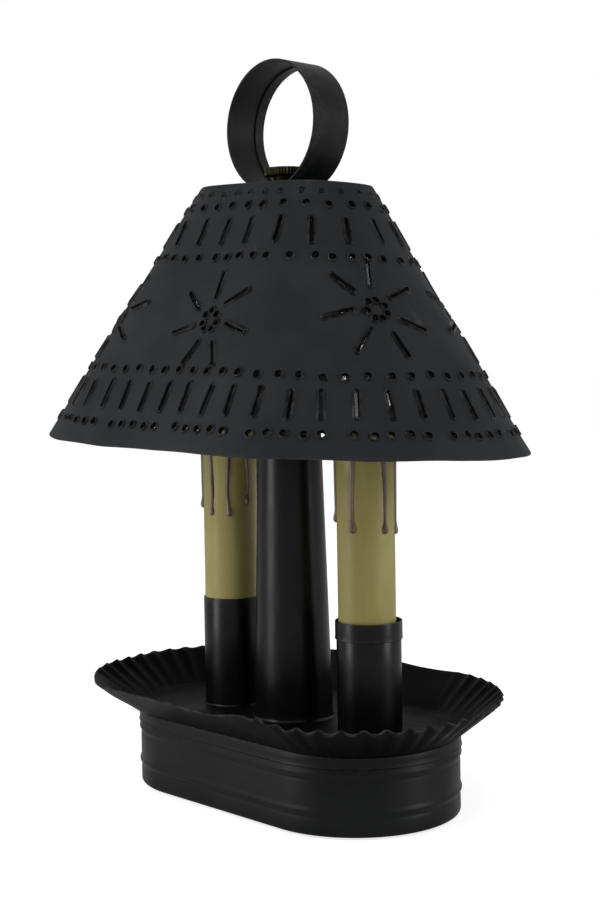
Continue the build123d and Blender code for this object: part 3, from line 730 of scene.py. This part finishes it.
# Each drip: its heading round the sleeve in degrees and the height of its drop.
drips = {
    "right": ((-134, 118.6), (-72, 115.2), (-5, 114.7), (42, 113.7), (98, 117.5), (162, 120.5)),
    "left": ((-129, 119.4), (-84, 116.7), (-44, 116.5), (-2, 121.0), (60, 117.5), (130, 120.0)),
}
drip_rings = [
    (1.05, drip_length), (1.05, 31.0), (1.0, 25.0), (0.95, 19.0), (0.9, 13.0), (0.8, 8.0), (0.75, 5.0),
    (0.8, 3.2), (1.0, 2.0), (1.3, 1.0), (1.45, 0.2), (1.38, -0.5), (1.1, -1.05), (0.6, -1.4), (0.15, -1.5),
]
wax = new_finish("olive_tan_wax", (0.3, 0.26, 0.09), 0.45, gloss=0.25)
wax_clouds = ramp(wax, grain(wax, 55, 5, (1, 1, 0.3)), 0.0, 1.0)
wax_tone = tint(wax, wax_clouds, (0.27, 0.235, 0.07), (0.36, 0.315, 0.115))
wax_stains = ramp(wax, grain(wax, 18, 3, (1, 1, 0.5)), 0.0, 0.5, 0.5, 0.72)
feed(wax, tint(wax, wax_stains, wax_tone, (0.2, 0.16, 0.05)), "Base Color")
uneven(wax, 120, 0.36, 0.55)
relief(wax, (grain(wax, 90, 4, (1, 1, 0.4)), 0.12), (grain(wax, 700, 3), 0.015))
drip_wax = new_finish("brown_drip_wax", (0.12, 0.09, 0.065), 0.32, gloss=0.4)
drip_clouds = ramp(drip_wax, grain(drip_wax, 110, 4, (1, 1, 0.5)), 0.0, 1.0)
feed(drip_wax, tint(drip_wax, drip_clouds, (0.085, 0.055, 0.036), (0.21, 0.155, 0.125)), "Base Color")
uneven(drip_wax, 200, 0.24, 0.42)
relief(drip_wax, (grain(drip_wax, 260, 3), 0.08))


def turned_form(name, rings, steps):
    """Solid turned form about the upright axis, closed at its first and last ring."""
    part = round_line(name, 0, *rings[0], steps)
    bpy.ops.mesh.edge_face_add()
    bpy.ops.mesh.select_all(action="SELECT")
    for old, new in zip(rings, rings[1:]):
        next_round(0, old, new)
    face_outwards()
    return part


def copy_of(model):
    """Copy of a part with a mesh of its own."""
    twin = model.copy()
    twin.data = model.data.copy()
    bpy.context.scene.collection.objects.link(twin)
    return twin


def join(copies, name):
    """Make one piece of several, under a name."""
    bpy.ops.object.select_all(action="DESELECT")
    for part in copies:
        part.select_set(True)
    bpy.context.view_layer.objects.active = copies[0]
    bpy.ops.object.join()
    copies[0].name = name
    return copies[0]


drip_model = turned_form("drip_model", drip_rings, 12)
for side, candle_x, cup_top, cup_inner, sleeve_shift in candles:
    sleeve_x = candle_x + sleeve_shift
    sleeve_rings = [(sleeve_inner, sleeve_bottom), (sleeve_radius, sleeve_bottom)]
    sleeve_rings += [(sleeve_radius, height) for height in (*sleeve_levels, sleeve_top - 0.3)]
    sleeve_rings += [(sleeve_radius - 0.3, sleeve_top), (sleeve_inner + 0.2, sleeve_top)]
    sleeve_rings += [(sleeve_inner, sleeve_top - 0.2)]
    sleeve = round_shell(side + "_sleeve_tube", sleeve_x, sleeve_rings, 72)
    smooth(sleeve, 40)
    hang(sleeve, "stand", "candle_wax", wax, side + "_candle_sleeve")
    side_drips = []
    for number, (heading, tip_height) in enumerate(drips[side]):
        drip = copy_of(drip_model)
        take(drip)
        bpy.ops.object.mode_set(mode="EDIT")
        pick(drip, lambda place: place.z > drop_height * mm)
        stretch = (sleeve_top - drip_start - tip_height - drop_height) / (drip_length - drop_height)
        bpy.ops.transform.resize(value=(1, 1, stretch), center_override=(0, 0, drop_height * mm))
        sideways = radians(heading + 90)
        for level, sway in drip_sways:
            pick(drip, lambda place: abs(place.z / mm - drop_height - (level - drop_height) * stretch) < 3.0)
            shift = sway * mm * (1 if (number + len(side)) % 2 else -1)
            bpy.ops.transform.translate(value=(shift * cos(sideways), shift * sin(sideways), 0))
        bpy.ops.mesh.select_all(action="SELECT")
        reach = sleeve_radius * mm
        bpy.ops.transform.translate(value=(
            sleeve_x * mm + reach * cos(radians(heading)), reach * sin(radians(heading)), tip_height * mm
        ))
        bpy.ops.object.mode_set(mode="OBJECT")
        side_drips.append(drip)
    run = join(side_drips, side + "_wax_drips")
    rounding = run.modifiers.new("rounding", "SUBSURF")
    rounding.levels = 1
    rounding.render_levels = 1
    apply_all(run)
    smooth(run, 80)
    hang(run, "stand", "candle_wax", drip_wax, side + "_candle_sleeve")
bpy.data.objects.remove(drip_model)

# Shade: an oval cone of sheet tin, open below and above, painted matt black and punched by hand.
# The punches leave slots, dots and seven-rayed stars with raised lips, painted a darker black than the shade as
# painted shade.
# It hangs from a bar across its top and leans a little to the front right.
shade_bottom = (36.0, 76.0, 147.5)
shade_top = (15.0, 25.3, 253.6)
shade_wall = 0.7
shade_edge = 0.2
bar_top = 252.2
lean_heading = radians(42)
lean_angle = radians(2.1)
lean = Matrix.Translation((0, 0, bar_top * mm)) @ Matrix.Rotation(lean_heading, 4, "Z")
lean = lean @ Matrix.Rotation(lean_angle, 4, "Y") @ Matrix.Rotation(-lean_heading, 4, "Z")
lean = lean @ Matrix.Translation((0, 0, -bar_top * mm))


def shade_ring(share, inset=0.0):
    """Half straight, radius and height of the upright shade at a share of its slant."""
    half_straight, radius, height = (low + share * (high - low) for low, high in zip(shade_bottom, shade_top))
    return half_straight, radius - inset, height


def shade_spot(row, place, along, up):
    """Where a punch mark sits, along and up from a place: X runs round the shade, Y up its slant and Z out."""
    rise = shade_top[2] - shade_bottom[2]
    draw_in = shade_bottom[1] - shade_top[1]
    slant = hypot(rise, draw_in)
    half_straight, radius, height = shade_ring(row + up / slant)
    quarter = pi * radius / 2
    length_round = 4 * quarter + 4 * half_straight
    run = (place * length_round - along) % length_round
    if run < quarter:
        middle, angle = half_straight, -run / radius
    elif run < quarter + 2 * half_straight:
        middle, angle = half_straight - (run - quarter), -pi / 2
    elif run < 3 * quarter + 2 * half_straight:
        middle, angle = -half_straight, -pi / 2 - (run - quarter - 2 * half_straight) / radius
    elif run < 3 * quarter + 4 * half_straight:
        middle, angle = -half_straight + (run - 3 * quarter - 2 * half_straight), pi / 2
    else:
        middle, angle = half_straight, -(run - 4 * half_straight) / radius
    outward = Vector((cos(angle), sin(angle), 0))
    around = Vector((-sin(angle), cos(angle), 0))
    pull = (shade_bottom[0] - shade_top[0]) * middle / half_straight
    slope = Vector((-pull, 0, rise)) - outward * draw_in
    normal = around.cross(slope).normalized()
    upward = normal.cross(around)
    spot = (Vector((middle, 0, height)) + outward * radius) * mm
    fan = 0.0 if abs(middle) < half_straight else along / radius * draw_in / slant
    turned = Matrix((around, upward, normal)).transposed().to_4x4() @ Matrix.Rotation(-fan, 4, "Z")
    return Matrix.Translation(spot) @ turned


shade_shares = [0, 0.006] + [step / 22 for step in range(1, 22)] + [0.994, 1]
shade_rings = [shade_ring(share, shade_edge if share in (0, 1) else 0) for share in shade_shares]
for share in shade_shares[::-1]:
    shade_rings.append(shade_ring(share, shade_wall - (shade_edge if share in (0, 1) else 0)))
shade = oval_shell("shade_cone", shade_rings, 176, 26)

# Every mark: its row as a share of the slant, its place round the shade from 0 to 1, how far it
# is along and up from there, and its turn.
lower_slots = [(0.188, (n + 0.5) / 44, 0, 0, 0) for n in range(44)]
upper_slots = [(0.808, n / 21, 0, 0, 0) for n in range(21)]
dots = []
for group in range(15):
    dots += [(0.084, -0.0288 + (group + step / 5.7) / 15, 0, 0, 0.7 * step) for step in range(5)]
dots += [(0.284, n / 60, 0, 0, 0.9 * n) for n in range(60)]
for group in range(7):
    dots += [(0.708, 0.0113 + (group + step / 6.75) / 7, 0, 0, 1.1 * step) for step in (0, 1, 2, 3, 4, 5.4)]
dots += [(0.908, -0.0071 + n / 28, 0, 0, 0.8 * n) for n in range(28)]
edge_bumps = [(0.958, (n + 0.05) / 29, 0, 0, 0) for n in range(29)]
# Every star: its row, its place and the heading of its first ray in degrees.
stars = (
    (0.515, 0.044, 82), (0.468, 0.214, 92), (0.469, 0.369, 77),
    (0.500, 0.540, 84), (0.490, 0.725, 88), (0.490, 0.910, 90),
)
star_rays = 7
ray_reach = 15.4
star_dot_reach = 4.1
rays = []
for star_row, star_place, first_ray in stars:
    for ray in range(star_rays):
        heading = radians(first_ray + 360 * ray / star_rays)
        out_along, out_up = cos(heading), sin(heading)
        rays.append((star_row, star_place, ray_reach * out_along, ray_reach * out_up, heading - pi / 2))
        dots.append((star_row, star_place, star_dot_reach * out_along, star_dot_reach * out_up, heading))


def spread_over(model, spots, name):
    """Copies of a mark at spots of the shade, as uneven as by hand, joined to one piece."""
    stray, twist, growth = 0.35, 0.045, 0.1
    copies = []
    for number, (row, place, along, up, turn) in enumerate(spots):
        along += stray * sin(2.4 * number + 9 * row)
        up += stray * cos(4.3 * number)
        turned = Matrix.Rotation(turn + twist * sin(3.7 * number), 4, "Z")
        wider = Matrix.Diagonal((1 + growth * sin(5.1 * number + 4 * row), 1, 1, 1))
        copies.append(copy_of(model))
        copies[-1].matrix_world = shade_spot(row, place, along, up) @ turned @ wider
    bpy.data.objects.remove(model)
    piece = join(copies, name)
    bpy.ops.object.transform_apply(location=True, rotation=True, scale=True)
    return piece


def slot_line(name, length, width, height, steps):
    """Round-ended slot of edges along Y, left in edit mode and selected."""
    bpy.ops.object.select_all(action="DESELECT")
    bpy.ops.mesh.primitive_circle_add(
        vertices=steps, radius=width / 2 * mm, location=(0, 0, height * mm), rotation=(0, 0, pi / steps)
    )
    part = bpy.context.object
    part.name = name
    bpy.ops.object.transform_apply(location=True, rotation=True, scale=True)
    bpy.ops.object.mode_set(mode="EDIT")
    for side in (1, -1):
        pick(part, lambda place: place.y * side > 0)
        bpy.ops.transform.translate(value=(0, side * (length - width) / 2 * mm, 0))
    bpy.ops.mesh.select_all(action="SELECT")
    return part


def slot_cutter(name, length, width, steps):
    """Upright bar with a slot's outline that cuts through the tin."""
    reach = 2.4
    part = slot_line(name, length, width, -reach, steps)
    bpy.ops.mesh.edge_face_add()
    bpy.ops.mesh.select_all(action="SELECT")
    bpy.ops.mesh.extrude_region_move(TRANSFORM_OT_translate={"value": (0, 0, 2 * reach * mm)})
    face_outwards()
    return part


for punch_name, punch_length, punch_width, punch_steps, punch_spots in (
    ("slot_punch", 12.4, 1.6, 12, lower_slots),
    ("short_slot_punch", 12.1, 1.5, 12, upper_slots),
    ("ray_punch", 12.2, 1.5, 12, rays),
    ("dot_punch", 2.3, 2.29, 10, dots),
):
    punch = slot_cutter(punch_name, punch_length, punch_width, punch_steps)
    cut_with(shade, spread_over(punch, punch_spots, punch_name + "_marks"), "MANIFOLD")


def slot_lip(name, length, rings, steps):
    """Lip of tin that a punch throws up round a slot, through rings of width and height."""
    part = slot_line(name, length + rings[0][0], rings[0][0], rings[0][1], steps)
    for old, new in zip(rings, rings[1:] + rings[:1]):
        bpy.ops.mesh.extrude_region_move(TRANSFORM_OT_translate={"value": (0, 0, (new[1] - old[1]) * mm)})
        ring = picked(part)
        growth = new[0] / old[0]
        for side in (1, -1):
            pick_again(part, [number for number in ring if place_of(part, number).y * side > 0])
            bpy.ops.transform.resize(
                value=(growth, growth, 1), center_override=(0, side * length / 2 * mm, new[1] * mm)
            )
        pick_again(part, ring)
    close_shell()
    return part


slot_rings = [(3.9, -0.12), (3.2, 0.2), (2.6, 0.55), (2.0, 0.75), (1.5, 0.5), (1.2, -0.95), (2.2, -0.9)]
dot_rings = [(4.5, -0.12), (4.1, 0.3), (3.6, 0.7), (3.1, 0.75), (2.5, 0.2), (1.9, -0.9), (2.8, -0.85)]
bump_rings = [(2.1, -0.25), (1.9, 0.1), (1.5, 0.35), (1.15, 0.3), (0.7, 0.05), (0.1, 0.02)]
lips = [
    spread_over(slot_lip("lower_lip", 10.8, slot_rings, 12), lower_slots, "lower_slot_lips"),
    spread_over(slot_lip("upper_lip", 10.5, slot_rings, 12), upper_slots, "upper_slot_lips"),
    spread_over(slot_lip("ray_lip", 10.6, slot_rings, 12), rays, "star_ray_lips"),
    spread_over(slot_lip("dot_lip", 0.02, dot_rings, 8), dots, "dot_hole_rims"),
]
rim_bumps = spread_over(turned_form("bump_model", bump_rings, 8), edge_bumps, "top_edge_bumps")
torn = bpy.data.textures.new("torn_tin", "CLOUDS")
torn.noise_scale = 1.3 * mm
for part in lips:
    tear = part.modifiers.new("tear", "DISPLACE")
    tear.texture = torn
    tear.strength = 0.6 * mm
    apply_all(part)
wavy = bpy.data.textures.new("wavy_tin", "CLOUDS")
wavy.noise_scale = 45 * mm
wavy.noise_depth = 1
matt_black = black_paint("matt_black_paint", (0.0125, 0.0135, 0.0148), (0.018, 0.019, 0.0205), 0.56, 0.68, 0.1)
# The lips and edge bumps get a darker copy of the shade's black paint: painted shade in and round the punched
# marks.
lip_shade_black = black_paint(
    "punched_lip_painted_shade", (0.0008, 0.0009, 0.001), (0.0022, 0.0023, 0.0025), 0.28, 0.42, 0.1
)
for part in (shade, *lips, rim_bumps):
    for way in ("Y", "Z"):
        wave = part.modifiers.new("wave", "DISPLACE")
        wave.texture = wavy
        wave.texture_coords = "GLOBAL"
        wave.direction = way
        wave.strength = 1.8 * mm
    apply_all(part)
    part.matrix_world = lean
    bpy.ops.object.transform_apply(location=True, rotation=True, scale=True)
    smooth(part, 40)
    hang(part, "shade_frame", "black_tin", matt_black if part == shade else lip_shade_black, "shade")
dress(satin_black, "shade_bar")

# Ring handle: a strap of tin bent to a ring, with a hem folded over along the edge of its inside.
# It leans with the shade, but is level where the knurled nut clamps it to the bar.
ring_centre = 278.73
strap_profile = [
    (26.2, -9.75), (26.8, -9.75), (27.0, -9.6), (27.0, 0.0), (27.0, 9.6), (26.8, 9.8), (25.5, 9.8),
    (25.2, 9.6), (25.2, 5.2), (25.35, 4.95), (25.9, 4.9), (26.0, 4.75), (26.0, 0.0), (26.0, -9.6),
]
# Each layer of the strap where it lies flat: its radii and the height that it lies at.
strap_layers = ((26.5, 27.5, bar_top), (25.5, 26.5, bar_top + 1.0), (24.5, 25.5, bar_top + 1.9))
bpy.ops.object.select_all(action="DESELECT")
bpy.ops.mesh.primitive_circle_add(
    vertices=120, radius=strap_profile[0][0] * mm, rotation=(pi / 2, 0, 0),
    location=(0, strap_profile[0][1] * mm, ring_centre * mm),
)
ring = bpy.context.object
ring.name = "ring_strap"
bpy.ops.object.transform_apply(location=True, rotation=True, scale=True)
bpy.ops.object.mode_set(mode="EDIT")
bpy.ops.mesh.select_all(action="SELECT")
for ring_old, ring_new in zip(strap_profile, strap_profile[1:] + strap_profile[:1]):
    bpy.ops.mesh.extrude_region_move(TRANSFORM_OT_translate={"value": (0, (ring_new[1] - ring_old[1]) * mm, 0)})
    ring_growth = ring_new[0] / ring_old[0]
    bpy.ops.transform.resize(
        value=(ring_growth, 1, ring_growth), center_override=(0, ring_new[1] * mm, ring_centre * mm)
    )
close_shell()


def strap_reach(place):
    """How far a point of the ring lies from the ring's middle."""
    return hypot(place.x, place.z - ring_centre * mm)


bpy.ops.object.mode_set(mode="EDIT")
flat_layers = []
for inner, outer, flat_height in strap_layers:
    pick(ring, lambda place: inner * mm < strap_reach(place) < outer * mm and place.z < flat_height * mm)
    flat_layers.append((picked(ring), flat_height))
bpy.ops.object.mode_set(mode="OBJECT")
take(ring)
ring.matrix_world = lean
bpy.ops.object.transform_apply(location=True, rotation=True, scale=True)
bpy.ops.object.mode_set(mode="EDIT")
for flat_points, flat_height in flat_layers:
    pick_again(ring, flat_points)
    bpy.ops.transform.resize(value=(1, 1, 0), center_override=(0, 0, flat_height * mm))
bpy.ops.object.mode_set(mode="OBJECT")
drill(ring, radius=rod_hole, depth=6, place=(0, 0, bar_top))
smooth(ring, 30)
hang(ring, "shade_frame", "black_tin", satin_black, "ring_handle")

# Knurled nut: turned brass gone dark, a ribbed head on a smooth boss.
# It screws down on the rod and clamps the strap and the shade's bar.
nut_bore = 3.06
nut_bottom = 253.2
boss_radius = 4.8
head_radius = 8.6
rib_count = 40
rib_growth = 1.035
nut_rings = [
    (nut_bore, nut_bottom), (boss_radius, nut_bottom), (boss_radius, 258.2), (5.2, 258.4), (7.7, 258.4),
    (head_radius - 0.3, 258.6), (head_radius - 0.3, 261.5), (7.7, 261.8), (6.2, 261.8), (5.9, 261.6),
    (3.5, 261.6), (nut_bore, 261.4),
]
nut = round_shell("ribbed_nut", 0, nut_rings, 4 * rib_count)
rib_step = 2 * pi / (4 * rib_count)
bpy.ops.object.mode_set(mode="EDIT")
rib_foot = (head_radius - 0.5) * mm
pick(nut, lambda place: hypot(place.x, place.y) > rib_foot and round(atan2(place.y, place.x) / rib_step) % 4 < 2)
bpy.ops.transform.resize(value=(rib_growth, rib_growth, 1), center_override=(0, 0, 260 * mm))
bpy.ops.object.mode_set(mode="OBJECT")
smooth(nut, 30)
antique_brass = new_finish("antique_brass", (0.2, 0.17, 0.09), 0.42, metal=1.0)
brass_clouds = ramp(antique_brass, grain(antique_brass, 130, 5), 0.0, 1.0)
brass_tone = tint(antique_brass, brass_clouds, (0.005, 0.0048, 0.003), (0.016, 0.015, 0.008))
# Its edges and ribs are lightened, partly as rubbed brass and partly as a painted highlight.
brass_rubbed_and_highlit = edges_worn_and_highlit(antique_brass, 0.52, 0.6)
feed(antique_brass, tint(antique_brass, brass_rubbed_and_highlit, brass_tone, (0.045, 0.04, 0.02)), "Base Color")
uneven(antique_brass, 220, 0.32, 0.55)
relief(antique_brass, (grain(antique_brass, 500, 3), 0.02))
hang(nut, "thumb_nut", "antique_brass", antique_brass, "knurled_nut")

# Rod, washer, nuts, nipples and brackets: turned and pressed steel with a dull zinc plating.
# The rod clamps the can, pan and stem together; a nipple and its nuts hold each socket's bracket.
zinc = new_finish("zinc_plated_steel", (0.5, 0.51, 0.52), 0.35, metal=1.0)
mottle(zinc, 160, 5, (0.38, 0.39, 0.4), (0.6, 0.6, 0.58))
uneven(zinc, 300, 0.26, 0.48)
relief(zinc, (grain(zinc, 600, 3), 0.02))


def of_both(*kinds):
    """Names of the right and the left candle's pieces of some kinds."""
    return [side + "_" + kind for side in ("right", "left") for kind in kinds]


dress(zinc, "threaded_rod", "rod_washer", "rod_nut", *of_both("nipple", "pipe_nuts", "socket_bracket"))

# Screw shells, contacts and bulb caps: thin pressed brass, bright with a little tarnish.
# The shells and contacts are set in the sockets, the caps are cemented to the bulbs.
bright_brass = new_finish("bright_brass", (0.78, 0.6, 0.28), 0.28, metal=1.0)
mottle(bright_brass, 200, 5, (0.62, 0.45, 0.19), (0.82, 0.65, 0.33))
uneven(bright_brass, 350, 0.2, 0.42)
relief(bright_brass, (grain(bright_brass, 500, 3), 0.015))
dress(bright_brass, *of_both("screw_shell", "centre_contact", "bulb_cap"))

# Socket bodies: tubes of moulded phenolic, dark brown with a fine mottle.
# Each stands on its steel bracket inside the candle sleeve.
phenolic = new_finish("brown_phenolic", (0.04, 0.03, 0.024), 0.4)
mottle(phenolic, 260, 5, (0.022, 0.017, 0.014), (0.06, 0.043, 0.032), warp=1.0)
uneven(phenolic, 200, 0.3, 0.5)
relief(phenolic, (grain(phenolic, 900, 3), 0.02))
dress(phenolic, *of_both("socket_body"))

# Lead wires and their connectors: wires in pale plastic run from the sockets into the base can.
# There they are twisted together under two moulded orange caps.
wire_cover = new_finish("pale_wire_insulation", (0.6, 0.58, 0.52), 0.5)
feed(wire_cover, tint(wire_cover, grain(wire_cover, 180, 4), (0.5, 0.48, 0.42), (0.68, 0.66, 0.6)), "Base Color")
relief(wire_cover, (grain(wire_cover, 700, 3), 0.02))
dress(wire_cover, *of_both("lead_wires"))
orange_cap = new_finish("orange_connector_plastic", (0.7, 0.25, 0.05), 0.45)
feed(orange_cap, tint(orange_cap, grain(orange_cap, 150, 4), (0.58, 0.18, 0.03), (0.78, 0.3, 0.07)), "Base Color")
relief(orange_cap, (grain(orange_cap, 900, 3), 0.03))
dress(orange_cap, "wire_connectors")

# Bulbs: clear torpedo glass blown thin and cemented in its brass cap.
# A drawn-wire filament stands inside it on a mount.
clear_glass = new_finish("clear_bulb_glass", (0.97, 0.98, 0.98), 0.02)
clear_glass.node_tree.nodes["Principled BSDF"].inputs["Transmission Weight"].default_value = 1.0
clear_glass.node_tree.nodes["Principled BSDF"].inputs["IOR"].default_value = 1.45
uneven(clear_glass, 60, 0.01, 0.06)
dress(clear_glass, *of_both("bulb_glass"))
filament_wire = new_finish("filament_wire", (0.5, 0.48, 0.45), 0.3, metal=1.0)
filament_tone = tint(filament_wire, grain(filament_wire, 400, 3), (0.4, 0.38, 0.36), (0.6, 0.57, 0.52))
feed(filament_wire, filament_tone, "Base Color")
relief(filament_wire, (grain(filament_wire, 1500, 2), 0.01))
dress(filament_wire, *of_both("filament_mount"))
